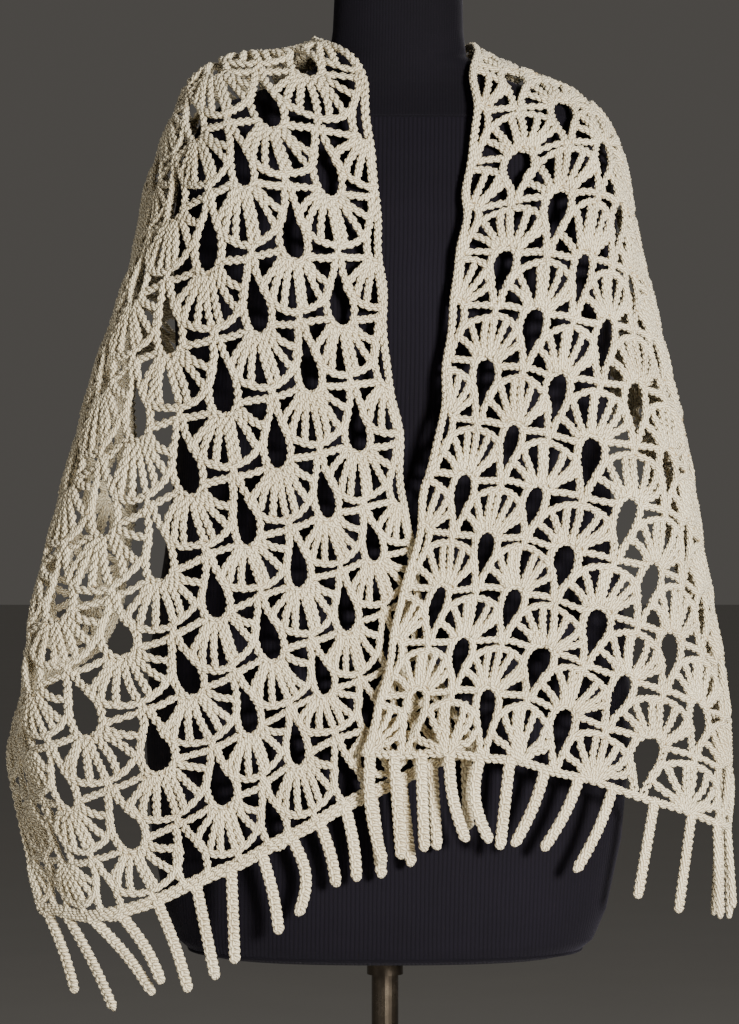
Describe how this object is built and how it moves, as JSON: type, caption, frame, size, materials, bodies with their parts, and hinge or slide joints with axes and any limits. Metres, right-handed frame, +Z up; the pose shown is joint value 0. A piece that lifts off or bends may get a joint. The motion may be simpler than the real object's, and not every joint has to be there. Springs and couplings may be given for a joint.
{
  "type": "lace shawl on dress form",
  "caption": "Crocheted fan-lace stole with corded fringe, draped open over the shoulders of a limbless dress form on a round-based pole stand",
  "frame": {"origin": "centre of the stand's underside, on the floor, under the pole", "axes": "+Z up along the pole, -Y out of the front of the form, +X to the right of someone looking at the front"},
  "size_m": [0.6218, 0.3183, 1.6623],
  "materials": {
    "ivory_cotton": "thick ivory cotton yarn, crocheted, matt",
    "navy_jersey": "near-black navy fine ribbed jersey, matt",
    "dark_wood": "dark stained wood, satin",
    "dark_metal": "dark bronzed metal, polished"
  },
  "bodies": {
    "root": {"stole_front_right": "ivory_cotton", "stole_shoulder_right": "ivory_cotton", "stole_back": "ivory_cotton", "stole_shoulder_left": "ivory_cotton", "stole_front_left": "ivory_cotton", "fringe_right_01": "ivory_cotton", "fringe_right_02": "ivory_cotton", "fringe_right_03": "ivory_cotton", "fringe_right_04": "ivory_cotton", "fringe_right_05": "ivory_cotton", "fringe_right_06": "ivory_cotton", "fringe_right_07": "ivory_cotton", "fringe_right_08": "ivory_cotton", "fringe_right_09": "ivory_cotton", "fringe_right_10": "ivory_cotton", "fringe_right_11": "ivory_cotton", "fringe_right_12": "ivory_cotton", "fringe_right_13": "ivory_cotton", "fringe_right_14": "ivory_cotton", "fringe_right_15": "ivory_cotton", "fringe_right_16": "ivory_cotton", "fringe_left_01": "ivory_cotton", "fringe_left_02": "ivory_cotton", "fringe_left_03": "ivory_cotton", "fringe_left_04": "ivory_cotton", "fringe_left_05": "ivory_cotton", "fringe_left_06": "ivory_cotton", "fringe_left_07": "ivory_cotton", "fringe_left_08": "ivory_cotton", "fringe_left_09": "ivory_cotton", "fringe_left_10": "ivory_cotton", "fringe_left_11": "ivory_cotton", "fringe_left_12": "ivory_cotton", "fringe_left_13": "ivory_cotton", "fringe_left_14": "ivory_cotton", "fringe_left_15": "ivory_cotton", "dress_form": "navy_jersey", "neck_cap": "dark_wood", "form_flange": "dark_metal", "stand_pole": "dark_metal", "stand_hub": "dark_metal", "stand_base": "dark_metal"}
  },
  "joints": []
}
